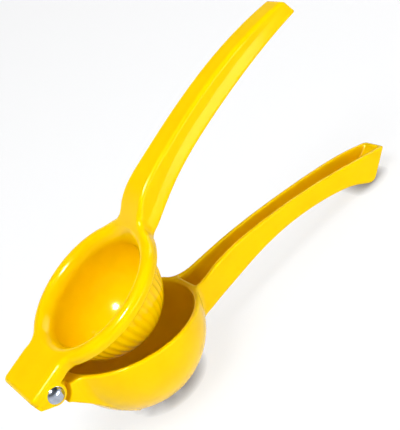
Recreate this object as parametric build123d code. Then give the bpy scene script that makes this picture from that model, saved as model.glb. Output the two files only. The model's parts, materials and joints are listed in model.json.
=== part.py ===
from build123d import *
import math
import os

os.makedirs("parts", exist_ok=True)

# A hinged citrus squeezer: a bowl on one handle, a press cup on the other,
# and a riveted knuckle hinge at the end where they meet.
#
# Both arms are drawn closed, in the bowl's own frame: the origin is the middle
# of the bowl's rim, +X runs out along the handles and +Z stands square on the
# rim. The last section opens the press arm and stands the tool on the table.

# ------------------------------------------------------------ sizes in mm

# Bowl
bowl_radius = 38.0
bowl_wall = 2.7
bowl_collar = 3.0
rim_round = 1.25
outer_rim_round = 0.9

# Drain in the bottom of the bowl
drain_slots = 8
slot_width = 2.6
slot_inner_reach = 6.0
slot_outer_reach = 15.5
drain_hole_radius = 2.2

# Press cup: a flange that lands on the bowl's rim, with a ribbed dome under it
flange_inset = 0.2
flange_thickness = 6.6
flange_gap = 0.8
dome_clearance = 5.1
cup_wall = 3.4
cup_lip_round = 2.6
rib_count = 44
rib_depth = 1.5
rib_crest_radius = 2.3

# Hinge, at the end of the bowl across from the handles
hinge_standoff = 9.2
hinge_drop = 0.3
knuckle_width = 34.6
ear_thickness = 5.4
ear_wall = 3.6
lug_wall = 2.6
lug_side_gap = 0.3
pocket_gap = 0.5
shoulder_gap = 2.1
tab_overhang = 9.5
tab_corner_round = 3.0

# Neck that carries the hinge from the bowl
neck_root_depth = 19.2
neck_root_angle = 60.0
neck_bend_inset = 8.0
neck_tip_depth = 7.5
neck_inset = 4.2
neck_round = 1.5
bridge_overlap = 3.0

# Rivet: a headed pin and the cap that is pressed on its far end
pin_radius = 2.0
pin_running_gap = 0.05
head_radius = 4.2
head_height = 2.6
head_edge = 0.5
cap_socket_depth = 1.6

# Handles
handle_wall = 2.2
handle_floor = 2.5
end_wall = 2.4
root_round = 3.0
edge_round = 2.0
bowl_handle_round = 2.2
tip_corner_round = 2.8
small_round = 0.7
under_round = 1.2
channel_step = 0.2

# Opening of the press arm as the tool stands, in degrees from closed
rest_opening = 24.76

# Places along the handles: distance out from the bowl's side, then height (side views)
# or half width (plan views). Heights of the bowl handle are above the bowl's rim, those
# of the press handle's top above the flange's top and of its bottom above the flange's foot.
bowl_handle_top = [(3.0, 0.0), (12.0, 1.7), (24.0, 4.2), (57.0, 7.1), (92.0, 7.1), (129.6, 3.5)]
bowl_handle_bottom = [(-10.0, -18.0), (0.0, -16.4), (14.0, -14.0), (36.0, -8.5), (58.0, -4.3),
                      (80.0, -3.4), (96.0, -4.6), (106.0, -7.0), (117.0, -10.9)]
bowl_handle_half_widths = [(-10.0, 11.4), (0.0, 10.6), (12.0, 8.3), (24.0, 7.2), (57.0, 6.9),
                           (92.0, 7.9), (112.0, 8.7), (132.0, 7.6)]
press_handle_top = [(-10.0, 0.0), (-1.0, 2.8), (7.0, 8.2), (24.0, 12.1), (57.0, 13.8),
                    (92.0, 12.2), (125.0, 5.7)]
press_handle_bottom = [(-3.0, 0.0), (7.0, 1.5), (24.0, 5.3), (57.0, 8.1), (92.0, 7.3), (125.6, 3.7)]
press_handle_half_widths = [(-10.0, 10.9), (0.0, 10.1), (12.0, 8.9), (24.0, 8.2), (57.0, 7.4),
                            (92.0, 6.9), (130.0, 6.6)]

# Slopes of those curves at their ends, as a rise or fall for each mm of length
root_slope = 0.1
low_corner_slope = 0.06
bowl_tip_slope = 0.16
press_tip_slope = 0.28

# How far off a surface an edge may lie and still count as on it, and the part of a face's
# unit normal along an axis from which the face counts as square on that axis
on_surface = 0.05
mostly_upright = 0.6

# ------------------------------------------------------- worked-out places

bowl_inner_radius = bowl_radius - bowl_wall
flange_radius = bowl_radius - flange_inset
flange_top = flange_gap + flange_thickness
dome_radius = bowl_inner_radius - dome_clearance
cup_radius = dome_radius - cup_wall
hinge_x = -bowl_radius - hinge_standoff
hinge_z = -hinge_drop
ear_radius = pin_radius + ear_wall
lug_radius = pin_radius + lug_wall
ear_outer = knuckle_width / 2
ear_inner = ear_outer - ear_thickness
lug_half_width = ear_inner - lug_side_gap
shoulder_radius = ear_radius + shoulder_gap
tab_end_x = hinge_x - tab_overhang
bowl_channel_root = bowl_radius + channel_step
press_channel_root = flange_radius + handle_wall
beyond_part = 4 * bowl_radius


def from_bowl(places, base=0.0):
    """Places along a handle, carried out from the bowl's side and up from a base height."""
    return [(bowl_radius + out, base + rise) for out, rise in places]


def side_slab(face, half_width=beyond_part):
    """A side view in the XZ plane, carried half_width to both sides of the middle."""
    return extrude(Plane.XZ.offset(-half_width) * face, 2 * half_width)


def plan_prism(face):
    """A plan view in the XY plane, carried well above and below the part."""
    return extrude(Plane.XY.offset(-beyond_part) * face, 2 * beyond_part)


def smooth_curve(points, start, end):
    """A smooth curve through points, with its directions at both ends."""
    return Spline(*points, tangents=[start, end], tangent_scalars=[1, 1])


def mirrored_plan(half_widths, inset=0.0):
    """The plan of a handle: one edge as a smooth curve, its mirror image, square ends."""
    edge = Spline(*from_bowl(half_widths, -inset))
    other_edge = mirror(edge, Plane.XZ)
    ends = [Line(edge @ 0, other_edge @ 0), Line(edge @ 1, other_edge @ 1)]
    return make_face([edge, other_edge, *ends])


def channel_plan(half_widths, start, stop):
    """The plan of the hollow in a handle, one wall in from its sides, from start to stop."""
    reach = Pos((start + stop) / 2, 0) * Rectangle(stop - start, beyond_part)
    return mirrored_plan(half_widths, handle_wall) & reach


def nearest_corner(face, place):
    """The corner of a sketch that lies at a given place."""
    return face.vertices().sort_by_distance(place)[0]


def border(faces):
    """The edges round a group of faces, without those that two of the faces share."""
    edges = [edge for face in faces for edge in face.edges()]
    return [edge for edge in edges if sum(edge.is_same(other) for other in edges) == 1]


def follows_bowl(edge, radius):
    """Whether an edge lies on the upright or round wall of the bowl with this radius."""
    places = [edge @ share for share in (0.0, 0.3, 0.6, 1.0)]
    return all(abs(math.hypot(place.X, place.Y, min(0.0, place.Z + bowl_collar)) - radius)
               < on_surface for place in places)


def starts_at_radius(spot, radius):
    """Whether a corner or the start of an edge is this far from the bowl's middle line."""
    return abs(math.hypot(spot.X, spot.Y) - radius) < on_surface


def hinge_cylinder(radius, half_width=beyond_part):
    """A round bar along the hinge axis."""
    return Pos(hinge_x, 0, hinge_z) * Rot(X=90) * Cylinder(radius, 2 * half_width)


# ---------------------------------------------------------------- bowl arm

def round_bottomed(radius, equator, top):
    """Half a ball below its equator and a straight drum above it, up to top."""
    arc = CenterArc((0, equator), radius, -90, 90)
    outline = [arc, Polyline((radius, equator), (radius, top), (0, top), (0, equator - radius))]
    return Rot(Z=90) * revolve(Plane.XZ * make_face(outline), Axis.Z)


def bowl_handle():
    """The solid handle: side view and plan view together, with its lower edges rounded in
    one run along the underside, round the low corner and up the slanting end."""
    top = smooth_curve(from_bowl(bowl_handle_top), (1, 0), (1, -bowl_tip_slope))
    bottom = smooth_curve(from_bowl(bowl_handle_bottom), (1, root_slope), (1, -low_corner_slope))
    back = Polyline(top @ 0, ((bottom @ 0).X, 0), bottom @ 0)
    side = make_face([top, bottom, back, Line(top @ 1, bottom @ 1)])
    side = fillet(nearest_corner(side, bottom @ 1), tip_corner_round)
    body = side_slab(side) & plan_prism(mirrored_plan(bowl_handle_half_widths))
    upper_faces = body.faces().filter_by(lambda face: face.normal_at().Z > mostly_upright)
    side_faces = body.faces().filter_by(lambda face: abs(face.normal_at().Y) > mostly_upright)
    upper_edges = [edge for face in upper_faces for edge in face.edges()]
    low_edges = [edge for edge in border(side_faces)
                 if edge.center().X > bowl_radius
                 and not any(edge.is_same(upper) for upper in upper_edges)]
    return fillet(low_edges, bowl_handle_round)


def bowl_handle_channel():
    """The open channel along the top of the handle, with a flat wall at the bowl and an
    end wall that leans as the handle's end does."""
    floor_places = from_bowl(bowl_handle_bottom, handle_floor)
    low_x, low_z = floor_places.pop()
    floor_places.append((low_x - end_wall, low_z))
    floor = smooth_curve(floor_places, (1, root_slope), (1, -low_corner_slope))
    top_x, top_z = from_bowl(bowl_handle_top).pop()
    stop = top_x - end_wall
    sky = Polyline(floor @ 0, ((floor @ 0).X, beyond_part), (stop, beyond_part), (stop, top_z), floor @ 1)
    side = make_face([floor, sky])
    side = fillet(nearest_corner(side, floor @ 1), small_round)
    plan = channel_plan(bowl_handle_half_widths, bowl_channel_root, stop)
    return side_slab(side) & plan_prism(plan)


def neck():
    """The block between bowl and hinge: flat cheeks, sloping underside, round shoulders."""
    root = Vector(-bowl_inner_radius, 0).rotate(Axis.Z, neck_root_angle)
    bend_x = neck_bend_inset - bowl_radius
    foot_x = hinge_x + neck_inset
    outline = Polyline((hinge_x, 0), (root.X, 0), root, (bend_x, -neck_root_depth),
                       (foot_x, -neck_tip_depth), (hinge_x, -neck_tip_depth), close=True)
    block = side_slab(make_face(outline), ear_outer)
    cheeks = block.faces().filter_by(Plane.XZ)
    low_edges = [edge for cheek in cheeks for edge in cheek.edges()
                 if edge.center().Z < -neck_tip_depth - on_surface and edge.center().X < root.X - on_surface]
    return fillet(low_edges, neck_round) - hinge_cylinder(shoulder_radius)


def hinge_lug():
    """The barrel between the ears and the bridge that carries it."""
    back_x = hinge_x + shoulder_radius + bridge_overlap
    bridge = Polyline((hinge_x, 0), (back_x, 0), (back_x, -neck_tip_depth),
                      (hinge_x + neck_inset, -neck_tip_depth), (hinge_x, hinge_z - lug_radius),
                      close=True)
    return hinge_cylinder(lug_radius, lug_half_width) + side_slab(make_face(bridge), lug_half_width)


def drain():
    """A ring of radial slots round a middle hole; the handle side is left whole to stand on."""
    length = slot_outer_reach - slot_inner_reach
    slot = Pos((slot_outer_reach + slot_inner_reach) / 2, 0) * SlotOverall(length, slot_width)
    ring = PolarLocations(0, drain_slots, start_angle=180 / drain_slots) * slot
    return extrude(Circle(drain_hole_radius) + ring, -beyond_part)


def below_rim(edge):
    """Whether an edge's middle lies below the bowl's rim, rather than on it."""
    return edge.center().Z < -on_surface


def make_bowl_arm():
    ball_and_handle = round_bottomed(bowl_radius, -bowl_collar, 0) + bowl_handle()
    root = [edge for edge in ball_and_handle.edges()
            if follows_bowl(edge, bowl_radius) and edge.center().X > 0 and below_rim(edge)]
    arm = fillet(root, root_round) + neck()
    neck_root = [edge for edge in arm.edges()
                 if follows_bowl(edge, bowl_radius) and edge.center().X < -bowl_radius / 2
                 and below_rim(edge)]
    arm = fillet(neck_root, root_round) + hinge_lug()
    arm = arm - round_bottomed(bowl_inner_radius, -bowl_collar, beyond_part)
    inner_rim = [edge for edge in arm.edges()
                 if follows_bowl(edge, bowl_inner_radius) and not below_rim(edge)]
    arm = fillet(inner_rim, rim_round)
    outer_rim = [edge for edge in arm.edges()
                 if follows_bowl(edge, bowl_radius) and not below_rim(edge)]
    arm = fillet(outer_rim, outer_rim_round)
    arm = arm - bowl_handle_channel()
    arm = arm - drain()
    return arm - hinge_cylinder(pin_radius + pin_running_gap)


# --------------------------------------------------------------- press arm

def press_plan():
    """Flange, hinge tab and handle seen from above, with rounded inner corners."""
    tab = Pos(tab_end_x / 2, 0) * Rectangle(-tab_end_x, knuckle_width)
    plan = Circle(flange_radius) + tab + mirrored_plan(press_handle_half_widths)
    inner_corners = [corner for corner in plan.vertices() if starts_at_radius(corner, flange_radius)]
    plan = fillet(inner_corners, root_round)
    end_corners = plan.vertices().group_by(Axis.X)[0]
    return fillet(end_corners, tab_corner_round)


def press_side():
    """Tab, flange and handle seen from the side."""
    top = smooth_curve(from_bowl(press_handle_top, flange_top), (1, 0), (1, -press_tip_slope))
    bottom = smooth_curve(from_bowl(press_handle_bottom, flange_gap), (1, 0), (1, -bowl_tip_slope))
    outline = [Polyline(bottom @ 0, (tab_end_x, flange_gap), (tab_end_x, flange_top), top @ 0),
               top, Line(top @ 1, bottom @ 1), bottom]
    return side_slab(make_face(outline))


def ears():
    """Two ears below the tab: a round lobe about the pin, run out to the tab's end."""
    lobe = CenterArc((hinge_x, hinge_z), ear_radius, 0, 360)
    overlap = flange_gap + 2 * under_round
    post = Line((tab_end_x, flange_gap), (tab_end_x, overlap))
    inner = Line((hinge_x + ear_radius, flange_gap), (hinge_x + ear_radius, overlap))
    face = make_hull([lobe, post, inner])
    pair = side_slab(face, ear_outer)
    outer_edges = [edge for side in pair.faces().filter_by(Plane.XZ) for edge in side.edges()
                   if edge.center().Z < flange_gap - on_surface]
    return fillet(outer_edges, small_round) - side_slab(face, ear_inner)


def dome():
    """Half a ball trimmed by a fluted column, so that the ribs stand out below the flange
    and run out into the smooth tip."""
    crest_centre = dome_radius - rib_crest_radius
    lobes = PolarLocations(crest_centre, rib_count) * Circle(rib_crest_radius)
    column = Circle(dome_radius - rib_depth) + lobes
    return round_bottomed(dome_radius, flange_gap, flange_gap + under_round) & plan_prism(column)


def press_handle_channel():
    """The channel along the underside of the handle."""
    roof_places = from_bowl(press_handle_top, flange_top - handle_floor)
    roof = smooth_curve(roof_places, (1, 0), (1, -press_tip_slope))
    below = Polyline(roof @ 0, ((roof @ 0).X, -beyond_part), ((roof @ 1).X, -beyond_part), roof @ 1)
    stop = (roof @ 1).X - end_wall
    plan = channel_plan(press_handle_half_widths, press_channel_root, stop)
    return side_slab(make_face([roof, below])) & plan_prism(plan)


def lug_pocket():
    """Room under the tab for the barrel of the bowl arm."""
    return hinge_cylinder(lug_radius + pocket_gap, ear_inner)


def make_press_arm():
    plan = plan_prism(press_plan())
    body = press_side() & plan
    top_faces = body.faces().filter_by(lambda face: face.normal_at().Z > mostly_upright)
    body = fillet(border(top_faces), edge_round)
    foot_faces = body.faces().filter_by(lambda face: face.normal_at().Z < -mostly_upright)
    body = fillet(border(foot_faces), under_round)
    body = body + (ears() & plan)
    body = body - lug_pocket()
    arm = body + dome()
    arm = arm - round_bottomed(cup_radius, flange_gap, beyond_part)
    lip = [edge for edge in arm.edges() if edge.center().Z > flange_top - on_surface
           and starts_at_radius(edge @ 0, cup_radius)]
    arm = fillet(lip, cup_lip_round)
    arm = arm - press_handle_channel()
    return arm - hinge_cylinder(pin_radius)


# -------------------------------------------------------------------- rivet

def turned(outline, side):
    """A turned piece: its axis is the hinge axis and its foot is on the outer face of one
    ear; side is -1 or +1 along Y, the way its head points."""
    piece = revolve(Plane.XZ * make_face(outline), Axis.Z)
    return Pos(hinge_x, side * ear_outer, hinge_z) * Rot(X=-90 * side) * piece


def crown():
    """The domed top of a rivet head, as an arc from its edge to its middle."""
    rise = head_height - head_edge
    crown_radius = (head_radius**2 + rise**2) / (2 * rise)
    sweep = math.degrees(math.asin(head_radius / crown_radius))
    return CenterArc((0, head_height - crown_radius), crown_radius, 90 - sweep, sweep)


def make_hinge_pin():
    tip = -knuckle_width - cap_socket_depth
    outline = Polyline((0, head_height), (0, tip), (pin_radius, tip), (pin_radius, 0),
                       (head_radius, 0), (head_radius, head_edge))
    return turned([outline, crown()], -1)


def make_pin_cap():
    outline = Polyline((0, head_height), (0, cap_socket_depth), (pin_radius, cap_socket_depth),
                       (pin_radius, 0), (head_radius, 0), (head_radius, head_edge))
    return turned([outline, crown()], 1)


# ------------------------------------------- opening and standing the tool

def swing(shape, degrees):
    """Turn a piece of the press arm open about the hinge."""
    return Pos(hinge_x, 0, hinge_z) * Rot(Y=-degrees) * Pos(-hinge_x, 0, -hinge_z) * shape


def standing_pitch():
    """The tool stands on the bowl and on the low corner of the bowl handle's end. The
    table touches both the ball of the bowl and the rounded corner, so its slope is that
    of the common tangent below the two circles."""
    corner = Vector(from_bowl(bowl_handle_bottom).pop())
    up_the_end = (Vector(from_bowl(bowl_handle_top).pop()) - corner).normalized()
    along_bottom = Vector(-1, low_corner_slope).normalized()
    inward = (up_the_end + along_bottom).normalized()
    half_angle = math.acos(inward.dot(along_bottom))
    centre = corner + inward * (tip_corner_round / math.sin(half_angle))
    reach = Vector(centre.X, centre.Y + bowl_collar)
    lean = math.asin((bowl_radius - tip_corner_round) / reach.length)
    return math.degrees(math.atan2(reach.Y, reach.X) + lean)


pieces = {
    "bowl_arm": make_bowl_arm(),
    "press_arm": swing(make_press_arm(), rest_opening),
    "hinge_pin": swing(make_hinge_pin(), rest_opening),
    "pin_cap": swing(make_pin_cap(), rest_opening),
}

stand = Rot(Y=standing_pitch())
pieces = {name: stand * piece for name, piece in pieces.items()}
boxes = [piece.bounding_box() for piece in pieces.values()]
middle_x = (min(box.min.X for box in boxes) + max(box.max.X for box in boxes)) / 2
place = Pos(-middle_x, 0, -min(box.min.Z for box in boxes))

for name, piece in pieces.items():
    piece = place * piece
    piece.label = name
    export_step(piece, f"parts/{name}.step")
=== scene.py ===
import json
import math

import bpy
import numpy as np
from bpy.props import FloatProperty, FloatVectorProperty, IntProperty, PointerProperty
from mathutils import Matrix, Vector


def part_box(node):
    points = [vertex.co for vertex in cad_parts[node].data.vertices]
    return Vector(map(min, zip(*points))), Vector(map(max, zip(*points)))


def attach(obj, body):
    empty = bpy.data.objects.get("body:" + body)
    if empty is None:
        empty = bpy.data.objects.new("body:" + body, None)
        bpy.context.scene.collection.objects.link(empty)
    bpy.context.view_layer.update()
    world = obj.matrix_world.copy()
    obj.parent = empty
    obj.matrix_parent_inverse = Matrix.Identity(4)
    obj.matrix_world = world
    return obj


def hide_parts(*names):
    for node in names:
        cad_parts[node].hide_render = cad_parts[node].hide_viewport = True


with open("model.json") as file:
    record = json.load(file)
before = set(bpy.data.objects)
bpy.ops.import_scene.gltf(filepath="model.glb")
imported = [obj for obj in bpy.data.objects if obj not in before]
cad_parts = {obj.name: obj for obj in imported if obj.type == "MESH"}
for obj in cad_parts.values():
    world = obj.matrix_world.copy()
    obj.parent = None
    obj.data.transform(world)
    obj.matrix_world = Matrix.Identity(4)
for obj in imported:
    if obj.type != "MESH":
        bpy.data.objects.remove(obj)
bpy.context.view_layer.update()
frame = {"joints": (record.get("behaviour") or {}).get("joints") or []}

bl_info = {
    "name": "Lemon Squeezer Looks",
    "version": (1, 0, 0),
    "blender": (4, 5, 0),
    "location": "View3D > Sidebar > Squeezer",
    "description": "Enamelled castings, bright rivet, soft studio and camera for a hinged lemon squeezer",
    "category": "Object",
}

# The castings are made in their closed position, in the bowl's own frame: the origin is
# the middle of the bowl's rim, +X runs out along the handles and +Z stands square on the
# rim. Lengths are in metres.

MM = 0.001
HINGE = frame["joints"][0]
HINGE_PLACE = np.array(HINGE["pos_m"])
OPENING = -math.radians(HINGE["range_deg"][0])

# Places along the handles: distance out from the bowl's side, then height or half width,
# in millimetres. Heights of the bowl handle are above the bowl's rim, those of the press
# handle's top above the flange's top and of its bottom above the flange's foot.
BOWL_HANDLE_TOP = ((3.0, 0.0), (12.0, 1.7), (24.0, 4.2), (57.0, 7.1), (92.0, 7.1), (129.6, 3.5))
BOWL_HANDLE_BOTTOM = ((-10.0, -18.0), (0.0, -16.4), (14.0, -14.0), (36.0, -8.5), (58.0, -4.3),
                      (80.0, -3.4), (96.0, -4.6), (106.0, -7.0), (117.0, -10.9))
BOWL_HANDLE_HALF_WIDTHS = ((-10.0, 11.4), (0.0, 10.6), (12.0, 8.3), (24.0, 7.2), (57.0, 6.9),
                           (92.0, 7.9), (112.0, 8.7), (132.0, 7.6))
PRESS_HANDLE_TOP = ((-10.0, 0.0), (-1.0, 4.0), (7.0, 8.6), (24.0, 12.1), (57.0, 13.8),
                    (92.0, 12.2), (125.0, 5.7))
PRESS_HANDLE_BOTTOM = ((-3.0, 0.0), (7.0, 1.5), (24.0, 5.3), (57.0, 8.1), (92.0, 7.3), (125.6, 3.7))
PRESS_HANDLE_HALF_WIDTHS = ((-10.0, 10.9), (0.0, 10.1), (12.0, 8.9), (24.0, 8.2), (57.0, 7.4),
                            (92.0, 6.9), (130.0, 6.6))

# Slopes of those lines at their ends: where the bowl handle's bottom leaves the bowl, at
# its low corner, at the tips of the two faces that meet when closed, and at the press
# handle's upper tip.
ROOT_SLOPE = 0.1
LOW_CORNER_SLOPE = -0.06
FACING_TIP_SLOPE = -0.16
PRESS_TIP_SLOPE = -0.28


# ------------------------------------------------------------------ sizes and colours

def length(name, description, millimetres):
    """A length of the castings that a user may change."""
    return FloatProperty(name=name, description=description, default=millimetres * MM,
                         min=0.0, unit="LENGTH", precision=5)


def angular(name, description, degrees):
    """An angle that a user may change."""
    return FloatProperty(name=name, description=description, default=math.radians(degrees), subtype="ANGLE")


def colour(name, description, red, green, blue):
    """A colour of a finish that a user may change."""
    return FloatVectorProperty(name=name, description=description, subtype="COLOR",
                               default=(red, green, blue), min=0.0, max=1.0)


class SqueezerCasting(bpy.types.PropertyGroup):
    """Sizes that both castings share, and how fine their surfaces are."""
    cell: length("Cell", "Spacing of the grid on which a casting's surface is found", 0.65)
    handle_wall: length("Handle wall", "Thickness of the walls beside the handles' channels", 2.2)
    handle_floor: length("Handle floor", "Thickness between a channel and the back of its handle", 2.5)
    end_wall: length("End wall", "Thickness of the wall that closes a channel at its tip", 2.4)
    root_round: length("Root fillet", "Fillet where handle and neck meet bowl or flange", 3.0)
    soft_edge: length("Soft edge", "Rounding that the enamel gives every remaining edge", 0.45)
    channel_round: length("Channel corner", "Fillet inside the channels", 1.4)
    pin_radius: length("Pin radius", "Radius of the rivet's shank", 2.0)
    knuckle_width: length("Knuckle width", "Width of the hinge over both ears", 34.6)
    ear_thickness: length("Ear thickness", "Thickness of each ear of the hinge", 5.4)
    ear_radius: length("Ear radius", "Radius of the ears about the pin", 5.6)
    lug_radius: length("Barrel radius", "Radius of the barrel between the ears", 4.6)


class SqueezerBowl(bpy.types.PropertyGroup):
    """Sizes of the casting with the bowl."""
    radius: length("Bowl radius", "Outside radius of the bowl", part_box("bowl_arm")[1][1] / MM)
    wall: length("Bowl wall", "Thickness of the bowl", 2.7)
    collar: length("Collar", "Height of the upright collar under the rim", 3.0)
    rim_round: length("Inner rim round", "Rounding of the rim towards the inside", 1.25)
    outer_rim_round: length("Outer rim round", "Rounding of the rim towards the outside", 0.9)
    handle_round: length("Handle round", "Rounding of the handle's lower edges", 2.2)
    tip_round: length("Tip round", "Rounding of the low corner at the handle's end", 2.8)
    neck_depth: length("Neck depth", "Depth of the neck where its underside bends", 19.2)
    neck_tip_depth: length("Neck tip depth", "Depth of the neck at the hinge", 7.5)
    neck_bend_inset: length("Neck bend", "How far inside the bowl's side the neck bends", 8.0)
    neck_inset: length("Neck foot", "How far behind the pin the neck's underside starts", 4.2)
    neck_round: length("Neck round", "Rounding of the neck's lower edges", 1.5)
    shoulder_gap: length("Shoulder gap", "Room round the ears in front of the neck", 2.1)
    lug_side_gap: length("Barrel side gap", "Play beside the barrel", 0.3)
    running_gap: length("Running gap", "Radial play of the pin in the barrel", 0.05)
    slot_count: IntProperty(name="Drain slots", description="Slots in the drain", default=8, min=1)
    slot_width: length("Slot width", "Width of each drain slot", 2.6)
    slot_inner: length("Slot start", "Distance of a slot's inner end from the middle", 6.0)
    slot_outer: length("Slot end", "Distance of a slot's outer end from the middle", 15.5)
    drain_hole: length("Drain hole", "Radius of the hole in the middle of the drain", 2.2)


class SqueezerPress(bpy.types.PropertyGroup):
    """Sizes of the casting with the press cup."""
    radius: length("Flange radius", "Outside radius of the flange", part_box("press_arm")[1][1] / MM)
    flange_gap: length("Flange gap", "Room between flange and rim when closed", 0.8)
    flange_thickness: length("Flange thickness", "Thickness of the flange", 6.6)
    dome_radius: length("Dome radius", "Outside radius of the press dome", 30.2)
    cup_radius: length("Cup radius", "Inside radius of the press cup", 28.2)
    mouth_width: length("Cup mouth", "Width of the round lead-in from flange to cup", 4.9)
    flange_round: length("Flange round", "Rounding of the flange's upper outer edge", 3.4)
    flange_under_round: length("Flange lower round", "Rounding of the flange's lower outer edge", 2.4)
    top_round: length("Top round", "Rounding of the upper edges of tab and handle", 1.8)
    under_round: length("Lower round", "Rounding of the lower edges", 1.2)
    draft: angular("Draft", "How far the foot of the handle's sides leans out", 9.0)
    draft_height: length("Draft height", "Height above the handle's foot at which the lean starts", 6.5)
    tab_overhang: length("Tab overhang", "How far the tab runs past the pin", 9.5)
    tab_round: length("Tab corner", "Corner rounding of the tab seen from above", 3.0)
    pocket_gap: length("Pocket gap", "Room round the barrel under the tab", 0.5)
    rib_count: IntProperty(name="Ribs", description="Ribs round the dome", default=44, min=3)
    rib_depth: length("Rib depth", "How far the ribs stand out under the flange", 0.6)
    rib_end: angular("Rib end", "How far down the ball the ribs run out", 58.0)


class SqueezerFinish(bpy.types.PropertyGroup):
    """Colours and gloss of the enamel and the rivet."""
    enamel: colour("Enamel", "Colour of the enamel on open faces", 0.985, 0.645, 0.0)
    thin_enamel: colour("Thin enamel", "Colour where the enamel runs thin over an edge", 1.0, 0.7, 0.0)
    # Painted shade: tight corners and creases of the enamel are darkened towards this colour; the faint
    # clouds use it too.
    painted_shade_and_cloud_enamel: colour("Deep enamel", "Colour where the enamel pools in a corner", 0.8, 0.36, 0.0)
    gloss_tint: colour("Gloss tint", "Tint of the enamel's reflections", 1.0, 0.9, 0.35)
    steel: colour("Steel", "Colour of the bright rivet", 0.45, 0.49, 0.57)


class SqueezerStage(bpy.types.PropertyGroup):
    """Light and camera."""
    sky: FloatProperty(name="Sky", description="Strength of the even light from all round",
                       default=0.32, min=0.0)
    lens: FloatProperty(name="Lens", description="Focal length", default=85.7 * MM, unit="CAMERA")
    camera_azimuth: angular("Camera azimuth", "Turn of the camera about the tool", -18.29)
    camera_elevation: angular("Camera elevation", "Camera angle above the table", 29.44)
    camera_roll: angular("Camera roll", "Tilt of the picture", -34.84)
    camera_distance: length("Camera distance", "Distance from the camera to what it aims at", 492.76)


def groups():
    """The property groups of the scene: casting, bowl, press, finish and stage."""
    scene = bpy.context.scene
    return (scene.squeezer_casting, scene.squeezer_bowl, scene.squeezer_press,
            scene.squeezer_finish, scene.squeezer_stage)


# ------------------------------------------------------------------ fields of distance

def smooth_line(places, base=0.0, start_slope=None, end_slope=None):
    """The cubic spline through places, with its value and slope as two functions of x.

    Between two places the height is h0(t) y0 + h1(t) y1 plus the slopes there times the
    Hermite terms. The slopes are those that make the bend continuous, from one linear
    system; an end has either the slope given or no bend. Past its ends the line runs
    straight on."""
    bowl_radius = groups()[1].radius
    knots = bowl_radius + MM * np.array([place[0] for place in places])
    heights = base + MM * np.array([place[1] for place in places])
    spans = np.diff(knots)
    rises = np.diff(heights) / spans
    count = len(knots)
    system = np.zeros((count, count))
    right_side = np.zeros(count)
    inner = np.arange(1, count - 1)
    system[inner, inner - 1] = spans[1:]
    system[inner, inner] = 2 * (spans[:-1] + spans[1:])
    system[inner, inner + 1] = spans[:-1]
    right_side[1:-1] = 3 * (spans[1:] * rises[:-1] + spans[:-1] * rises[1:])
    for row, beside, slope, rise in ((0, 1, start_slope, rises[0]), (-1, -2, end_slope, rises[-1])):
        system[row, row] = 1.0 if slope is not None else 2.0
        system[row, beside] = 0.0 if slope is not None else 1.0
        right_side[row] = slope if slope is not None else 3 * rise
    slopes = np.linalg.solve(system, right_side)

    def value_and_slope(x):
        inside = np.clip(x, knots[0], knots[-1])
        span = np.clip(np.searchsorted(knots, inside, side="right") - 1, 0, count - 2)
        width = spans[span]
        t = (inside - knots[span]) / width
        y0, y1, m0, m1 = heights[span], heights[span + 1], slopes[span] * width, slopes[span + 1] * width
        value = (2 * t**3 - 3 * t**2 + 1) * y0 + (t**3 - 2 * t**2 + t) * m0
        value = value + (3 * t**2 - 2 * t**3) * y1 + (t**3 - t**2) * m1
        slope = (6 * t**2 - 6 * t) * (y0 - y1) + (3 * t**2 - 4 * t + 1) * m0 + (3 * t**2 - 2 * t) * m1
        slope = slope / width
        return value + slope * (x - inside), slope

    return value_and_slope


def over(z, line):
    """Distance above a smooth line: the height difference times the cosine of its slope."""
    value, slope = line
    return (z - value) / np.sqrt(1 + slope**2)


def beyond(x, z, start, end):
    """Distance to the right of the straight line from start to end, in the side view."""
    run, rise = end[0] - start[0], end[1] - start[1]
    return ((x - start[0]) * rise - (z - start[1]) * run) / math.hypot(run, rise)


def both(a, b, rounding):
    """What two shapes share, with the edge where they meet rounded: inside the rounding,
    the distance is that to a circle touching both faces."""
    reach = np.hypot(np.maximum(a + rounding, 0), np.maximum(b + rounding, 0))
    return np.minimum(-rounding, np.maximum(a, b)) + reach


def either(a, b, fillet):
    """Two shapes joined, with a fillet in the corner between them: inside the fillet, the
    distance is that to a circle touching both faces from outside."""
    reach = np.hypot(np.maximum(fillet - a, 0), np.maximum(fillet - b, 0))
    return np.maximum(fillet, np.minimum(a, b)) - reach


def without(a, b, rounding):
    """The first shape less the second, with the new edges rounded."""
    return both(a, -b, rounding)


def eased(value, start, stop):
    """0 up to start and 1 from stop on, with the smooth step 3 t^2 - 2 t^3 between."""
    t = np.clip((value - start) / (stop - start), 0, 1)
    return t * t * (3 - 2 * t)


def round_bottomed(x, y, z, radius, equator):
    """Half a ball below its equator, and an upright drum of the same radius above it."""
    return np.sqrt(x**2 + y**2 + np.minimum(0, z - equator)**2) - radius


def about_hinge(x, z, radius):
    """A round bar along the hinge axis."""
    pin = hinge_in_casting()
    return np.hypot(x - pin[0], z - pin[1]) - radius


# ------------------------------------------------------------------ places in the frame

def standing_pitch():
    """How far the bowl's rim leans from level, towards the handle's end.

    The bowl stands on the table, so its ball's middle is one radius up. From there the
    pin is (collar - drop) up along the rim's normal and reach away along the rim, and
    the height of the hinge gives the angle between them and the table."""
    bowl = groups()[1]
    reach, drop = (-place for place in hinge_in_casting())
    up = bowl.collar - drop
    return math.asin((HINGE_PLACE[2] - bowl.radius) / math.hypot(reach, up)) - math.atan2(up, reach)


def hinge_in_casting():
    """The pin's place in the side view of a closed casting."""
    standoff, drop = 9.2 * MM, 0.3 * MM
    return -(groups()[1].radius + standoff), -drop


def turn(angle):
    """The matrix that turns side views by an angle, lifting what lies on the -X side."""
    cosine, sine = math.cos(angle), math.sin(angle)
    return np.array(((cosine, 0, sine), (0, 1, 0), (-sine, 0, cosine)))


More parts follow.
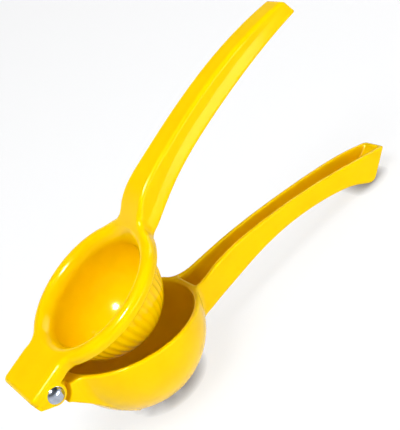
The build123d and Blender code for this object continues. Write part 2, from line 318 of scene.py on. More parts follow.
def placed(points, opening):
    """Points of a closed casting, opened about the hinge and stood on the table."""
    hinge_x, hinge_z = hinge_in_casting()
    pin = np.array((hinge_x, 0, hinge_z))
    return (points - pin) @ turn(standing_pitch() - opening).T + HINGE_PLACE


# ------------------------------------------------------------------ surfaces

def level_surface(field, low, high, cell):
    """The closed surface on which a field of distance is zero, as points and quads.

    The field is worked out on a grid of points. Every grid cell that the surface crosses
    gets one point, at the mean of the places where the field changes sign along the
    cell's edges, and every grid edge that it crosses gets the quad of the four cells
    round it. Then the points are evened out along the surface and moved onto it."""
    axes = [np.arange(start - 2 * cell, stop + 3 * cell, cell) for start, stop in zip(low, high)]
    values = field(axes[0][:, None, None], axes[1][None, :, None], axes[2][None, None, :])
    join_diagonals(values, cell)
    inside = values < 0
    count = np.zeros(np.array(inside.shape) - 1, np.uint8)
    corners = [(i, j, k) for i in (0, 1) for j in (0, 1) for k in (0, 1)]
    for i, j, k in corners:
        count += inside[i:i + count.shape[0], j:j + count.shape[1], k:k + count.shape[2]]
    crossed = (count > 0) & (count < 8)
    cells = np.argwhere(crossed)
    number = np.full(crossed.shape, -1)
    number[crossed] = np.arange(len(cells))
    total = np.zeros((len(cells), 3))
    hits = np.zeros(len(cells))
    for start in corners:
        for axis in range(3):
            if start[axis] == 0:
                end = tuple(place + (side == axis) for side, place in enumerate(start))
                first = values[tuple((cells + start).T)]
                last = values[tuple((cells + end).T)]
                hit = (first < 0) != (last < 0)
                share = np.where(hit, first / np.where(hit, first - last, 1), 0)
                place = np.array(start) + share[:, None] * (np.arange(3) == axis)
                total += place * hit[:, None]
                hits += hit
    points = np.array([axis[0] for axis in axes]) + cell * (cells + total / hits[:, None])

    quads = []
    for axis in range(3):
        before = np.take(inside, np.arange(inside.shape[axis] - 1), axis)
        after = np.take(inside, np.arange(1, inside.shape[axis]), axis)
        edges = np.argwhere(before != after)
        side, up = (axis + 1) % 3, (axis + 2) % 3
        ring = []
        for back_side, back_up in ((1, 1), (0, 1), (0, 0), (1, 0)):
            step = np.zeros(3, int)
            step[side], step[up] = back_side, back_up
            ring.append(number[tuple((edges - step).T)])
        ring = np.stack(ring, 1)
        leaving = before[tuple(edges.T)]
        quads.append(np.where(leaving[:, None], ring, ring[:, ::-1]))
    quads = np.concatenate(quads)
    return settle(field, points, quads, cell), quads


def join_diagonals(values, cell):
    """Where two corners of a grid square are inside and the other two, across the
    diagonal, are not, the outer two are taken just inside, so that no edge of the
    surface is shared by more than two faces."""
    rounds, just_inside = 4, -0.01 * cell
    for _ in range(rounds):
        for axis in range(3):
            layers = np.moveaxis(values, axis, 0)
            inside = layers < 0
            first, last = inside[:, :-1, :-1], inside[:, 1:, 1:]
            right, up = inside[:, 1:, :-1], inside[:, :-1, 1:]
            crossed = (first == last) & (right == up) & (first != right)
            for i, j in ((0, 0), (1, 0), (0, 1), (1, 1)):
                corner = layers[:, i:layers.shape[1] - 1 + i, j:layers.shape[2] - 1 + j]
                corner[crossed & (corner >= 0)] = just_inside


def slope_of(field, points, step):
    """The field's slope at each point, from its differences along the three axes."""
    offsets = step * np.eye(3)
    return np.stack([(field(*(points + offset).T) - field(*(points - offset).T)) / (2 * step)
                     for offset in offsets], 1)


def settle(field, points, quads, cell):
    """Points evened out over the surface: each moves to the mean of its neighbours, less
    the part of that move along the surface's normal, and then down the field's slope
    onto the surface."""
    near, far = quads.ravel(), np.roll(quads, 1, 1).ravel()
    near, far = np.concatenate((near, far)), np.concatenate((far, near))
    count = np.bincount(near, minlength=len(points))
    step, least_slope = cell / 8, 0.5
    for even_out in (0.5, 0.5, 0.0, 0.0):
        slope = slope_of(field, points, step)
        normal = slope / np.linalg.norm(slope, axis=1, keepdims=True)
        total = np.stack([np.bincount(near, column[far], len(points)) for column in points.T], 1)
        move = even_out * (total / count[:, None] - points)
        points = points + move - normal * np.sum(move * normal, 1, keepdims=True)
        slope = slope_of(field, points, step)
        fall = field(*points.T) / np.maximum(np.sum(slope**2, 1), least_slope**2)
        points = points - np.clip(fall, -cell, cell)[:, None] * slope
    return points


def bend_of(field, points, reach):
    """How sharply the surface bends at each point: 1 over a sharp edge, -1 in a tight
    corner and 0 on the flat. The field's mean over the six places round a point, reach
    away, less its value there, is that bend times the reach squared over six."""
    offsets = reach * np.concatenate((np.eye(3), -np.eye(3)))
    around = sum(field(*(points + offset).T) for offset in offsets) / 6 - field(*points.T)
    return np.clip(around * 6 / reach, -1, 1)


def ring_surface(radii, heights, sides):
    """A profile carried round an axis: at angle a, each ring's points are at (r cos a,
    r sin a, h). The first and last radius are zero, so the ends are closed by fans."""
    angles = np.linspace(0, 2 * math.pi, sides, endpoint=False)
    rings = np.stack((np.outer(radii[1:-1], np.cos(angles)), np.outer(radii[1:-1], np.sin(angles)),
                      np.repeat(heights[1:-1, None], sides, 1)), 2)
    points = np.concatenate((rings.reshape(-1, 3), [(0, 0, heights[0]), (0, 0, heights[-1])]))
    number = np.arange(len(radii[1:-1]) * sides).reshape(-1, sides)
    after = np.roll(number, -1, 1)
    quads = np.stack((number[:-1], after[:-1], after[1:], number[1:]), 2).reshape(-1, 4)
    foot, top = len(points) - 2, len(points) - 1
    fans = [np.stack((after[0], number[0], np.full(sides, foot)), 1),
            np.stack((number[-1], after[-1], np.full(sides, top)), 1)]
    return points, quads.tolist() + np.concatenate(fans).tolist()


def new_piece(name, points, faces, material, node, body, bends=None):
    """A smooth closed mesh that stands for a CAD node and moves with its body."""
    mesh = bpy.data.meshes.new(name)
    mesh.from_pydata(points.tolist(), [], faces if isinstance(faces, list) else faces.tolist())
    mesh.shade_smooth()
    if bends is not None:
        bend = mesh.attributes.new("bend", "FLOAT", "POINT")
        bend.data.foreach_set("value", bends.astype(np.float32))
    mesh.materials.append(material)
    piece = bpy.data.objects.new(name, mesh)
    bpy.context.scene.collection.objects.link(piece)
    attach(piece, body)
    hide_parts(node)
    return piece


# ------------------------------------------------------------------ the bowl arm

def bowl_handle(x, y, z):
    """The handle: above its bottom line, inside its sides, and cut off along a slanting
    end; its lower edges are rounded. The top is left for the whole arm."""
    bowl = groups()[1]
    sunk = 9 * MM
    bottom_line = smooth_line(BOWL_HANDLE_BOTTOM, 0.0, ROOT_SLOPE, LOW_CORNER_SLOPE)
    under = -over(z, bottom_line(x))
    end = beyond(x, z, tip_of(BOWL_HANDLE_BOTTOM), tip_of(BOWL_HANDLE_TOP))
    half_width, _ = smooth_line(BOWL_HANDLE_HALF_WIDTHS)(x)
    outline = both(under, end, bowl.tip_round)
    handle = both(np.abs(y) - half_width, outline, bowl.handle_round)
    return np.maximum(handle, bowl.radius - sunk - x)


def tip_of(places, base=0.0):
    """The last of a handle's places, in metres from the middle of the bowl."""
    out, height = places[-1]
    return groups()[1].radius + out * MM, base + height * MM


def bowl_handle_channel(x, y, z):
    """The open channel in the handle: above its floor, between its walls, and short of a
    wall that leans as the handle's end does; with filleted corners inside."""
    casting, bowl, *_ = groups()
    floor_line = smooth_line(BOWL_HANDLE_BOTTOM, casting.handle_floor, ROOT_SLOPE, LOW_CORNER_SLOPE)
    half_width, _ = smooth_line(BOWL_HANDLE_HALF_WIDTHS)(x)
    low_x, low_z = tip_of(BOWL_HANDLE_BOTTOM, casting.handle_floor)
    top_x, top_z = tip_of(BOWL_HANDLE_TOP)
    end = beyond(x, z, (low_x - casting.end_wall, low_z), (top_x - casting.end_wall, top_z))
    root_gap = 0.2 * MM
    root = bowl.radius + root_gap - x
    sides = both(np.abs(y) - half_width + casting.handle_wall, both(end, root, casting.channel_round),
                 casting.channel_round)
    return both(sides, -over(z, floor_line(x)), casting.channel_round)


def neck(x, y, z):
    """The block between bowl and hinge: flat cheeks, an underside that falls away in
    three stretches to the ball's inside, 60 degrees round from its rim, and a round
    shoulder in front of the ears."""
    casting, bowl, *_ = groups()
    hinge_x = hinge_in_casting()[0]
    foot = (hinge_x + bowl.neck_inset, -bowl.neck_tip_depth)
    bend = (bowl.neck_bend_inset - bowl.radius, -bowl.neck_depth)
    inner = bowl.radius - bowl.wall
    root_angle = math.radians(60.0)
    root = (-inner * math.cos(root_angle), -inner * math.sin(root_angle))
    under = either(-bowl.neck_tip_depth - z, -beyond(x, z, bend, foot), bowl.neck_round)
    under = either(under, -beyond(x, z, root, bend), bowl.neck_round)
    block = both(np.abs(y) - casting.knuckle_width / 2, under, bowl.neck_round)
    block = np.maximum(block, np.maximum(x - root[0], hinge_x - x))
    return without(block, about_hinge(x, z, casting.ear_radius + bowl.shoulder_gap), casting.soft_edge)


def barrel(x, y, z):
    """The barrel between the ears, with the bridge that joins it to the neck."""
    casting, bowl, *_ = groups()
    hinge_x, hinge_z = hinge_in_casting()
    half_width = casting.knuckle_width / 2 - casting.ear_thickness - bowl.lug_side_gap
    foot = (hinge_x + bowl.neck_inset, -bowl.neck_tip_depth)
    sunk = 3 * MM
    back = hinge_x + casting.ear_radius + bowl.shoulder_gap + sunk
    bridge = np.maximum(np.maximum(z, x - back), hinge_x - x)
    bridge = np.maximum(bridge, -beyond(x, z, foot, (hinge_x, hinge_z - casting.lug_radius)))
    bridge = np.maximum(bridge, -bowl.neck_tip_depth - z)
    bar = np.minimum(about_hinge(x, z, casting.lug_radius), bridge)
    return both(bar, np.abs(y) - half_width, casting.soft_edge)


def drain(x, y, z):
    """Radial slots, repeated round the middle by folding the angle, and a middle hole;
    both end half the bowl's radius below its rim."""
    bowl = groups()[1]
    sector = 2 * math.pi / bowl.slot_count
    angle = np.mod(np.arctan2(y, x), sector) - sector / 2
    out = np.hypot(x, y)
    along, across = out * np.cos(angle), out * np.sin(angle)
    half_width = bowl.slot_width / 2
    inner_end, outer_end = bowl.slot_inner + half_width, bowl.slot_outer - half_width
    slots = np.hypot(along - np.clip(along, inner_end, outer_end), across) - half_width
    return np.maximum(np.minimum(slots, out - bowl.drain_hole), z + bowl.radius / 2)


def bowl_arm_field(x, y, z):
    """The casting with the bowl: ball, handle and neck run together with fillets, and are
    cut off by one top face that is level as far as the handle's root and then follows
    the handle; the barrel is added, and the bowl, the channel, the drain and the pin's
    hole are taken out, each with its own rounding of the new edges. At the ridge between
    bowl and channel, the channel's edges are as round as the bowl's."""
    casting, bowl, *_ = groups()
    top_line = smooth_line(BOWL_HANDLE_TOP, 0.0, 0.0, FACING_TIP_SLOPE)
    ball = round_bottomed(x, y, z, bowl.radius, -bowl.collar)
    arm = either(ball, bowl_handle(x, y, z), casting.root_round)
    arm = either(arm, neck(x, y, z), casting.root_round)
    arm = both(arm, over(z, top_line(x)), bowl.outer_rim_round)
    arm = either(arm, barrel(x, y, z), casting.soft_edge)
    arm = without(arm, round_bottomed(x, y, z, bowl.radius - bowl.wall, -bowl.collar), bowl.rim_round)
    ridge_start, ridge_end = bowl.radius + 1 * MM, bowl.radius + 5 * MM
    ridge_share = 1 - eased(x, ridge_start, ridge_end)
    channel_edge = casting.soft_edge + ridge_share * (bowl.rim_round - casting.soft_edge)
    arm = without(arm, bowl_handle_channel(x, y, z), channel_edge)
    arm = without(arm, drain(x, y, z), casting.soft_edge)
    return without(arm, about_hinge(x, z, casting.pin_radius + bowl.running_gap), casting.soft_edge)


# ------------------------------------------------------------------ the press arm

def press_outline(x, y, z, half_width):
    """Flange, tab and handle seen from above, joined with fillets and cut at the tip. The
    foot of the handle's sides leans out by the draft."""
    casting, _, press, *_ = groups()
    tab_end = hinge_in_casting()[0] - press.tab_overhang
    tab = both(tab_end - x, np.abs(y) - casting.knuckle_width / 2, press.tab_round)
    outline = either(np.hypot(x, y) - press.radius, np.maximum(tab, x), casting.root_round)
    foot_line = smooth_line(PRESS_HANDLE_BOTTOM, press.flange_gap, 0.0, FACING_TIP_SLOPE)
    below = press.draft_height + foot_line(x)[0] - z
    side = np.abs(y) - half_width
    drafted = math.cos(press.draft) * side - math.sin(press.draft) * np.maximum(below, 0)
    outline = either(outline, np.maximum(drafted, -x), casting.root_round)
    end = beyond(x, z, tip_of(PRESS_HANDLE_BOTTOM, press.flange_gap),
                 tip_of(PRESS_HANDLE_TOP, press.flange_gap + press.flange_thickness))
    tip_round = 2 * casting.soft_edge
    return both(outline, end, tip_round)


def ears(x, y, z):
    """Two ears below the tab: a round lobe about the pin and the wedge from its lower
    left tangent and its right side up into the tab."""
    casting, _, press, *_ = groups()
    sunk, outer_round = 3 * MM, 0.7 * MM
    hinge_x, hinge_z = hinge_in_casting()
    corner = (hinge_x - press.tab_overhang, press.flange_gap)
    reach = math.hypot(corner[0] - hinge_x, corner[1] - hinge_z)
    lean = math.atan2(corner[1] - hinge_z, corner[0] - hinge_x) + math.acos(casting.ear_radius / reach)
    touch = (hinge_x + casting.ear_radius * math.cos(lean), hinge_z + casting.ear_radius * math.sin(lean))
    right = hinge_x + casting.ear_radius
    middle, half_length = (corner[0] + right) / 2, (right - corner[0]) / 2
    wedge = np.maximum(np.abs(x - middle) - half_length, -beyond(x, z, touch, corner))
    wedge = np.maximum(wedge, np.minimum(hinge_z - z, -beyond(x, z, (hinge_x, hinge_z), touch)))
    wedge = np.maximum(wedge, z - press.flange_gap - sunk)
    side = np.minimum(about_hinge(x, z, casting.ear_radius), wedge)
    outer = both(side, np.abs(y) - casting.knuckle_width / 2, outer_round)
    return both(outer, casting.knuckle_width / 2 - casting.ear_thickness - np.abs(y), casting.soft_edge)


def ribbed_dome(x, y, z):
    """Half a ball with ribs that run down it like meridians: the furrows between them are
    sin^2 of the angle round the middle, and their depth falls from the flange to nothing
    at the ribs' end, as 1 - t^2 of the angle down the ball."""
    casting, _, press, *_ = groups()
    sunk = 2 * MM
    furrow = np.sin(np.arctan2(y, x) * press.rib_count / 2)**2
    down = np.arctan2(np.maximum(0, press.flange_gap - z), np.hypot(x, y)) / press.rib_end
    depth = press.rib_depth * furrow * np.maximum(0, 1 - down**2)
    ball = round_bottomed(x, y, z, press.dome_radius, press.flange_gap) + depth
    return both(ball, z - press.flange_gap - sunk, casting.soft_edge)


def round_the_cup(x, y, z, top_line):
    """All that lies outside the press cup: below the flange's foot the cup is half a
    ball, and above it its mouth opens up to the top face along the flattened quarter of
    an ellipse (u / mouth)^p + (w / rise)^p = 1 with p = 1.7, where u is the distance in
    from the mouth's edge and w the height above the foot."""
    press = groups()[2]
    power, least_size = 1.7, 1e-6
    least_steepness = 0.01 / press.mouth_width
    edge = press.cup_radius + press.mouth_width
    out = np.hypot(x, y)
    rise = top_line[0] - press.flange_gap
    u, w = np.maximum(edge - out, 0), np.maximum(z - press.flange_gap, 0)
    inward, upward = u / press.mouth_width, w / rise
    size = np.maximum(inward**power + upward**power, least_size)**(1 / power)
    steepness = np.hypot(inward**(power - 1) / press.mouth_width, upward**(power - 1) / rise)
    mouth = (size - 1) * size**(power - 1) / np.maximum(steepness, least_steepness)
    ball = -round_bottomed(x, y, z, press.cup_radius, press.flange_gap)
    return np.where(out > edge, -press.mouth_width, np.where(z > press.flange_gap, mouth, ball))


def press_handle_channel(x, y, z, half_width):
    """The channel along the handle's underside, with filleted corners inside."""
    casting, _, press, *_ = groups()
    roof_base = press.flange_gap + press.flange_thickness - casting.handle_floor
    roof = over(z, smooth_line(PRESS_HANDLE_TOP, roof_base, 0.0, PRESS_TIP_SLOPE)(x))
    root = press.radius + casting.handle_wall - x
    end = x - tip_of(PRESS_HANDLE_TOP)[0] + casting.end_wall
    sides = both(np.abs(y) - half_width + casting.handle_wall, np.maximum(root, end), casting.channel_round)
    return both(sides, roof, casting.channel_round)


def press_arm_field(x, y, z):
    """The casting with the press cup: the outline seen from above between a top face and
    a foot face, which are level over tab and flange and then follow the handle; ears and
    dome are added, and the barrel's pocket, the cup, the channel and the pin's hole are
    taken out, each with its own rounding of the new edges. From the flange out to tab
    and handle, the rounds of the upper and lower edges ease from one size to another."""
    casting, _, press, *_ = groups()
    flange_top = press.flange_gap + press.flange_thickness
    half_width, _ = smooth_line(PRESS_HANDLE_HALF_WIDTHS)(x)
    top_line = smooth_line(PRESS_HANDLE_TOP, flange_top, 0.0, PRESS_TIP_SLOPE)(x)
    top_face = over(z, top_line)
    foot_face = -over(z, smooth_line(PRESS_HANDLE_BOTTOM, press.flange_gap, 0.0, FACING_TIP_SLOPE)(x))
    ease_start, ease_end = press.radius - 1.5 * MM, press.radius + 6 * MM
    off_flange = eased(np.hypot(x, y), ease_start, ease_end)
    top_round = press.flange_round + off_flange * (press.top_round - press.flange_round)
    under_round = press.flange_under_round + off_flange * (press.under_round - press.flange_under_round)
    arm = both(press_outline(x, y, z, half_width), top_face, top_round)
    arm = both(arm, foot_face, under_round)
    arm = either(arm, ears(x, y, z), casting.soft_edge)
    inner_half = casting.knuckle_width / 2 - casting.ear_thickness
    pocket = np.maximum(about_hinge(x, z, casting.lug_radius + press.pocket_gap), np.abs(y) - inner_half)
    arm = without(arm, pocket, casting.soft_edge)
    arm = either(arm, ribbed_dome(x, y, z), casting.soft_edge)
    arm = np.maximum(arm, round_the_cup(x, y, z, top_line))
    arm = without(arm, press_handle_channel(x, y, z, half_width), casting.soft_edge)
    return without(arm, about_hinge(x, z, casting.pin_radius), casting.soft_edge)


def casting_piece(name, field, low, high, opening, body):
    """The enamelled skin of one casting, from its field between two corners."""
    bend_reach = 0.6 * MM
    points, quads = level_surface(field, low, high, groups()[0].cell)
    bends = bend_of(field, points, bend_reach)
    return new_piece(name, placed(points, opening), quads, enamel(), body, body, bends)


# ------------------------------------------------------------------ finishes

def add_node(tree, kind, values=None, **settings):
    """A node with its settings and its sockets' values."""
    made = tree.nodes.new(kind)
    for key, value in settings.items():
        setattr(made, key, value)
    for key, value in (values or {}).items():
        if isinstance(value, bpy.types.NodeSocket):
            tree.links.new(value, made.inputs[key])
        else:
            made.inputs[key].default_value = value
    return made


def noise(tree, place, scale, detail):
    """Soft fractal noise about one half, at a place."""
    values = {"Vector": place, "Scale": scale, "Detail": detail}
    return add_node(tree, "ShaderNodeTexNoise", values).outputs["Fac"]


def ranged(tree, value, start, stop, first, last):
    """A value's way from start to stop, as a number from first to last."""
    return add_node(tree, "ShaderNodeMapRange", {"Value": value, "From Min": start, "From Max": stop,
                                             "To Min": first, "To Max": last}).outputs[0]


def blended(tree, share, first, second):
    """The first colour at a share of 0, the second at 1."""
    return add_node(tree, "ShaderNodeMix", {0: share, 6: first, 7: second}, data_type="RGBA").outputs[2]


def combined(tree, operation, first, second):
    """Two values put together by one operation of arithmetic."""
    return add_node(tree, "ShaderNodeMath", {0: first, 1: second}, operation=operation).outputs[0]


def finish_group(name, inputs, build):
    """The node group of that name, with the inputs given and the outputs Color, Roughness
    and Height, for which build gives the sockets."""
    known = bpy.data.node_groups.get(name)
    if known:
        return known
    tree = bpy.data.node_groups.new(name, "ShaderNodeTree")
    for label, default in inputs.items():
        kind = "NodeSocketColor" if isinstance(default, tuple) else "NodeSocketFloat"
        tree.interface.new_socket(label, in_out="INPUT", socket_type=kind).default_value = default
    for label in ("Color", "Roughness", "Height"):
        kind = "NodeSocketColor" if label == "Color" else "NodeSocketFloat"
        tree.interface.new_socket(label, in_out="OUTPUT", socket_type=kind)
    given, result = tree.nodes.new("NodeGroupInput"), tree.nodes.new("NodeGroupOutput")
    place = add_node(tree, "ShaderNodeTexCoord").outputs["Object"]
    for socket, made in zip(result.inputs, build(tree, given.outputs, place)):
        tree.links.new(made, socket)
    return tree


def enamel_coat(tree, given, place):
    """Fired enamel: paler where it runs thin over an edge, with painted shade that darkens
    tight corners and creases, a faint cloudiness and the slow ripple that the kiln leaves."""
    cloud = noise(tree, place, 55.0, 3.0)
    ripple = noise(tree, place, 420.0, 1.5)
    speck = noise(tree, place, 1900.0, 2.0)
    thin = ranged(tree, given["Bend"], 0.12, 0.75, 0.0, 0.8)
    # Painted shade: the tighter a corner bends in, the more its colour goes to the darker one.
    corner_shade_share = ranged(tree, given["Bend"], -0.1, -0.7, 0.0, 0.75)
    shade = ranged(tree, cloud, 0.3, 0.7, 0.0, 0.16)
    over_edges = blended(tree, thin, given["Open"], given["Thin"])
    shaded_in_corners = blended(tree, corner_shade_share, over_edges, given["Deep"])
    clouded = blended(tree, shade, shaded_in_corners, given["Deep"])
    rough = ranged(tree, speck, 0.3, 0.7, 0.09, 0.15)
    height = combined(tree, "ADD", ripple, combined(tree, "MULTIPLY", speck, 0.06))
    return clouded, rough, height


def rubbed_metal(tree, given, place):
    """Plated steel: a fine all-round haze of rubbing and a few slow dull patches."""
    patches = noise(tree, place, 350.0, 3.0)
    rubbing = noise(tree, place, 2600.0, 4.0)
    rough = ranged(tree, patches, 0.35, 0.65, given["Smoothest"], given["Roughest"])
    dull = ranged(tree, patches, 0.4, 0.75, 1.0, 0.8)
    toned = add_node(tree, "ShaderNodeVectorMath", {0: given["Metal"], "Scale": dull}, operation="SCALE")
    return toned.outputs[0], rough, rubbing


def finished_material(name, group, inputs, strength, distance):
    """A material in which a node group with these inputs gives the colour, the roughness
    and the height of a bump of that strength and distance. It comes with the group's
    node and the shader."""
    material = bpy.data.materials.new(name)
    material.use_nodes = True
    tree = material.node_tree
    shader = tree.nodes["Principled BSDF"]
    finish = add_node(tree, "ShaderNodeGroup", inputs, node_tree=group)
    bump = add_node(tree, "ShaderNodeBump", {"Height": finish.outputs["Height"], "Strength": strength,
                                         "Distance": distance})
    tree.links.new(finish.outputs["Color"], shader.inputs["Base Color"])
    tree.links.new(finish.outputs["Roughness"], shader.inputs["Roughness"])
    tree.links.new(bump.outputs["Normal"], shader.inputs["Normal"])
    return material, finish, shader


def enamel():
    """The yellow enamel of both castings."""
    known = bpy.data.materials.get("fired_enamel")
    if known:
        return known
    colours = groups()[3]
    strength, distance = 0.12, 0.12 * MM
    inputs = {"Open": (*colours.enamel, 1), "Thin": (*colours.thin_enamel, 1),
              "Deep": (*colours.painted_shade_and_cloud_enamel, 1), "Bend": 0.0}
    group = finish_group("enamel_coat", inputs, enamel_coat)
    material, finish, shader = finished_material("fired_enamel", group, inputs, strength, distance)
    bend = add_node(material.node_tree, "ShaderNodeAttribute", attribute_name="bend")
    material.node_tree.links.new(bend.outputs["Fac"], finish.inputs["Bend"])
    shader.inputs["IOR"].default_value = 1.22
    shader.inputs["Specular Tint"].default_value = (*colours.gloss_tint, 1)
    return material


def bright_steel():
    """The rivet's bright plated steel."""
    known = bpy.data.materials.get("bright_steel")
    if known:
        return known
    strength, distance = 0.15, 0.03 * MM
    inputs = {"Metal": (*groups()[3].steel, 1), "Smoothest": 0.1, "Roughest": 0.24}
    group = finish_group("rubbed_metal", inputs, rubbed_metal)
    material, _, shader = finished_material("bright_steel", group, inputs, strength, distance)
    shader.inputs["Metallic"].default_value = 1.0
    return material


# ------------------------------------------------------------------ operators

class SQUEEZER_OT_bowl_arm(bpy.types.Operator):
    """Make the enamelled casting with the bowl and the lower handle"""
    bl_idname = "squeezer.bowl_arm"
    bl_label = "Bowl Arm"

    def execute(self, context):
        bowl = groups()[1]
        neck_reach, highest = 15 * MM, 8 * MM
        low = (-bowl.radius - neck_reach, -bowl.radius, -bowl.radius - bowl.collar)
        high = (tip_of(BOWL_HANDLE_TOP)[0], bowl.radius, highest)
        piece = casting_piece("bowl_casting", bowl_arm_field, low, high, 0.0, "bowl_arm")
        return {"FINISHED"}


class SQUEEZER_OT_press_arm(bpy.types.Operator):
    """Make the enamelled casting with the press cup and the upper handle"""
    bl_idname = "squeezer.press_arm"
    bl_label = "Press Arm"

    def execute(self, context):
        press = groups()[2]
        highest = 22 * MM
        low = (hinge_in_casting()[0] - press.tab_overhang, -press.radius,
               press.flange_gap - press.dome_radius)
        high = (tip_of(PRESS_HANDLE_BOTTOM)[0], press.radius, highest)
        piece = casting_piece("press_casting", press_arm_field, low, high, OPENING, "press_arm")
        return {"FINISHED"}


class SQUEEZER_OT_rivet(bpy.types.Operator):
    """Make the rivet's head with its shank, and the cap on its far end"""
    bl_idname = "squeezer.rivet"
    bl_label = "Rivet"

    def execute(self, context):
        low, high = (np.array(corner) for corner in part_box("hinge_pin"))
        cap_low, cap_high = (np.array(corner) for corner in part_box("pin_cap"))
        bevel = 0.3 * MM
        shank = groups()[0].pin_radius
        radius = (high[0] - low[0]) / 2
        height = cap_high[1] - cap_low[1]
        socket_end = height - (high[1] - cap_low[1])
        end = high[1] - low[1]
        shank_outline = [(shank, height), (shank, end - bevel), (shank - bevel, end), (0.0, end)]
        socket_outline = [(shank, height), (shank, socket_end), (0.0, socket_end)]
        head_profile = turned_profile(radius, height, shank_outline)
        cap_profile = turned_profile(radius, height, socket_outline)
        head = rivet_piece("rivet_head", head_profile, low[1], 1, "hinge_pin")
        cap = rivet_piece("rivet_cap", cap_profile, cap_high[1], -1, "pin_cap")
        return {"FINISHED"}


def turned_profile(radius, height, outline):
    """Half the outline of a rivet piece, as radii and as depths below the tip of its
    head: a circle's arc over the crown, a small quarter of an ellipse at its edge, the
    rim's bevel, and then the outline given."""
    edge, edge_width, edge_drop, rim_bevel = 0.5 * MM, 0.125 * MM, 0.15 * MM, 0.1 * MM
    rise = height - edge
    crown_width = radius - edge_width
    crown = (crown_width**2 + rise**2) / (2 * rise)
    sweep = np.linspace(0, math.asin(crown_width / crown), 20)
    turn_in = np.linspace(0, math.pi / 2, 6)[1:]
    radii = np.concatenate((crown * np.sin(sweep), crown_width + edge_width * np.sin(turn_in)))
    depths = np.concatenate((crown * (1 - np.cos(sweep)), rise + edge_drop * (1 - np.cos(turn_in))))
    rim = [(radius, height - rim_bevel), (radius - rim_bevel, height)]
    return np.concatenate((np.stack((radii, depths), 1), rim, outline)).T


def rivet_piece(name, profile, tip_place, side, cad_node):
    """A turned piece on the hinge axis; its tip is at tip_place along Y and it runs from
    there to the given side."""
    sides = 72
    points, faces = ring_surface(*profile, sides)
    points = np.stack((side * points[:, 0], tip_place + side * points[:, 2], points[:, 1]), 1)
    points = points + np.array((HINGE_PLACE[0], 0, HINGE_PLACE[2]))
    faces = [face[::-1] for face in faces]
    return new_piece(name, points, faces, bright_steel(), cad_node, "press_arm")


class SQUEEZER_OT_stage(bpy.types.Operator):
    """Make the table, the surroundings, the lamps and the camera"""
    bl_idname = "squeezer.stage"
    bl_label = "Stage"

    def execute(self, context):
        make_table()
        make_sky()
        make_lamps()
        make_camera()
        return {"FINISHED"}


def seen_share(tree):
    """A mask that is 1 for rays from the camera, from glossy surfaces and through clear
    ones, and 0 for the rays that light other surfaces."""
    path = add_node(tree, "ShaderNodeLightPath").outputs
    straight = combined(tree, "MAXIMUM", path["Is Camera Ray"], path["Is Transmission Ray"])
    return combined(tree, "MAXIMUM", straight, path["Is Glossy Ray"])


def make_table():
    """A wide plain table: white to the camera, with the object's shadow kept. Where
    something stands close over the table its glow falls off, so that the object rests on
    a contact shadow."""
    half, contact_reach = 3.0, 6.5 * MM
    corners = [(-half, -half, 0), (half, -half, 0), (half, half, 0), (-half, half, 0)]
    mesh = bpy.data.meshes.new("table")
    mesh.from_pydata(corners, [], [(0, 1, 2, 3)])
    table = bpy.data.objects.new("table", mesh)
    bpy.context.scene.collection.objects.link(table)
    material = bpy.data.materials.new("pale_table")
    material.use_nodes = True
    tree = material.node_tree
    tree.nodes.remove(tree.nodes["Principled BSDF"])
    seen = seen_share(tree)
    tone = blended(tree, seen, (0.8, 0.8, 0.8, 1), (0.22, 0.225, 0.235, 1))
    paper = add_node(tree, "ShaderNodeBsdfDiffuse", {"Color": tone})
    open_share = add_node(tree, "ShaderNodeAmbientOcclusion", {"Distance": contact_reach}).outputs["AO"]
    lift = blended(tree, open_share, (0.05, 0.05, 0.06, 1), (0.8, 0.8, 0.8, 1))
    glow = add_node(tree, "ShaderNodeEmission", {"Color": lift, "Strength": seen})
    surface = add_node(tree, "ShaderNodeAddShader", {0: paper.outputs[0], 1: glow.outputs[0]})
    tree.links.new(surface.outputs[0], tree.nodes["Material Output"].inputs["Surface"])
    mesh.materials.append(material)


def make_sky():
    """Even light from all round. It is white where it is seen; what it shows in glossy
    surfaces is white near the horizon and dimmer higher up, like a dark studio ceiling."""
    world = bpy.data.worlds.new("studio")
    world.use_nodes = True
    bpy.context.scene.world = world
    tree = world.node_tree
    path = add_node(tree, "ShaderNodeLightPath").outputs
    sight = add_node(tree, "ShaderNodeTexCoord").outputs["Generated"]
    way = add_node(tree, "ShaderNodeSeparateXYZ", {0: sight})
    ceiling = ranged(tree, way.outputs["Z"], 0.1, 0.45, 1.0, 0.04)
    glossy = add_node(tree, "ShaderNodeMix", {0: path["Is Glossy Ray"], 2: groups()[4].sky, 3: ceiling})
    straight = combined(tree, "MAXIMUM", path["Is Camera Ray"], path["Is Transmission Ray"])
    strength = add_node(tree, "ShaderNodeMix", {0: straight, 2: glossy.outputs[0], 3: 1.0})
    back = tree.nodes["Background"]
    back.inputs["Color"].default_value = (1, 1, 1, 1)
    tree.links.new(strength.outputs[0], back.inputs["Strength"])


# Lamps: name, shape, place, what it faces, width, height, power, whether it lights
# surfaces, and whether it shows in their gloss.
MIDDLE = (0.0, 0.0, 0.045)
LAMPS = (
    ("top_box", "RECTANGLE", (-0.2, 0.05, 0.95), MIDDLE, 0.5, 0.5, 2.9, True, False),
    ("key_box", "RECTANGLE", (-0.27, -0.25, 0.85), MIDDLE, 0.35, 0.35, 3.6, True, False),
    ("front_box", "RECTANGLE", (0.1, -0.95, 0.1), MIDDLE, 0.8, 0.25, 5.0, True, False),
    ("round_glint", "DISK", (-0.244, -0.226, 0.772), MIDDLE, 0.16, 0.16, 34.0, False, True),
    ("side_glint", "RECTANGLE", (0.72, 0.25, 0.6), MIDDLE, 0.5, 0.5, 5.0, False, True),
    ("low_glint", "RECTANGLE", (0.1, -0.42, 0.06), (-0.02, -0.008, 0.09), 0.3, 0.1, 1.3, False, True),
)


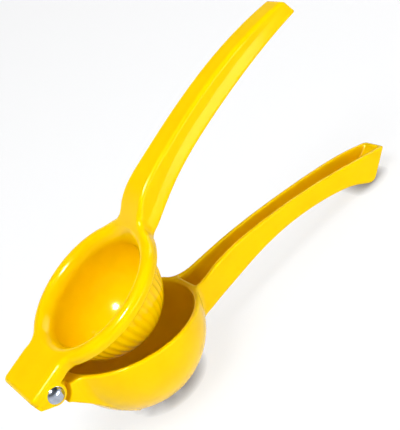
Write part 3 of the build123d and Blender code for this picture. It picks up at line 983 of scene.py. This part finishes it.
def make_lamps():
    """Soft boxes that light the tool, and small bright ones that only show in its gloss."""
    for name, shape, place, aim, width, height, power, lights, shows in LAMPS:
        data = bpy.data.lights.new(name, "AREA")
        data.shape = shape
        data.size, data.size_y, data.energy = width, height, power
        lamp = bpy.data.objects.new(name, data)
        lamp.location = place
        lamp.rotation_euler = (Vector(aim) - lamp.location).to_track_quat("-Z", "Y").to_euler()
        lamp.visible_diffuse = lights
        lamp.visible_glossy = shows
        bpy.context.scene.collection.objects.link(lamp)


def make_camera():
    """The camera looks at a point above the table, from its azimuth and elevation, and
    is tilted about its own axis by its roll."""
    stage = groups()[4]
    aim = Vector((8.47, 0.0, 54.72)) * MM
    azimuth, elevation, roll = stage.camera_azimuth, stage.camera_elevation, stage.camera_roll
    back = Vector((math.sin(azimuth) * math.cos(elevation), -math.cos(azimuth) * math.cos(elevation),
                   math.sin(elevation)))
    level = Vector((math.cos(azimuth), math.sin(azimuth), 0))
    upright = back.cross(level)
    right = math.cos(roll) * level + math.sin(roll) * upright
    up = math.cos(roll) * upright - math.sin(roll) * level
    data = bpy.data.cameras.new("camera")
    data.sensor_width = 36.0
    data.lens = stage.lens / MM
    data.clip_start = 0.01
    camera = bpy.data.objects.new("camera", data)
    turned = Matrix((right, up, back)).transposed().to_4x4()
    camera.matrix_world = Matrix.Translation(aim + back * stage.camera_distance) @ turned
    bpy.context.scene.collection.objects.link(camera)
    bpy.context.scene.camera = camera
    bpy.context.scene.view_settings.view_transform = "Standard"


class SQUEEZER_PT_panel(bpy.types.Panel):
    """Sidebar panel with the pieces and the sizes and colours that they are made from"""
    bl_idname = "SQUEEZER_PT_panel"
    bl_label = "Lemon Squeezer"
    bl_space_type = "VIEW_3D"
    bl_region_type = "UI"
    bl_category = "Squeezer"

    def draw(self, context):
        for operator in OPERATORS:
            self.layout.operator(operator.bl_idname)
        for name in PROPERTIES:
            group = getattr(context.scene, name)
            box = self.layout.box()
            for key in group.bl_rna.properties.keys():
                if key not in ("rna_type", "name"):
                    box.prop(group, key)


OPERATORS = (SQUEEZER_OT_bowl_arm, SQUEEZER_OT_press_arm, SQUEEZER_OT_rivet, SQUEEZER_OT_stage)
PROPERTIES = {"squeezer_casting": SqueezerCasting, "squeezer_bowl": SqueezerBowl,
              "squeezer_press": SqueezerPress, "squeezer_finish": SqueezerFinish,
              "squeezer_stage": SqueezerStage}


def register():
    """Makes the property groups, operators and panel known to Blender."""
    for name, group in PROPERTIES.items():
        bpy.utils.register_class(group)
        setattr(bpy.types.Scene, name, PointerProperty(type=group))
    for item in (*OPERATORS, SQUEEZER_PT_panel):
        bpy.utils.register_class(item)


def unregister():
    """Takes back what register made known."""
    for item in (SQUEEZER_PT_panel, *reversed(OPERATORS)):
        bpy.utils.unregister_class(item)
    for name, group in PROPERTIES.items():
        delattr(bpy.types.Scene, name)
        bpy.utils.unregister_class(group)


def main():
    """Registers the add-on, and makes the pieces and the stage."""
    register()
    for operator in OPERATORS:
        group, name = operator.bl_idname.split(".")
        getattr(getattr(bpy.ops, group), name)()


if __name__ == "__main__":
    main()
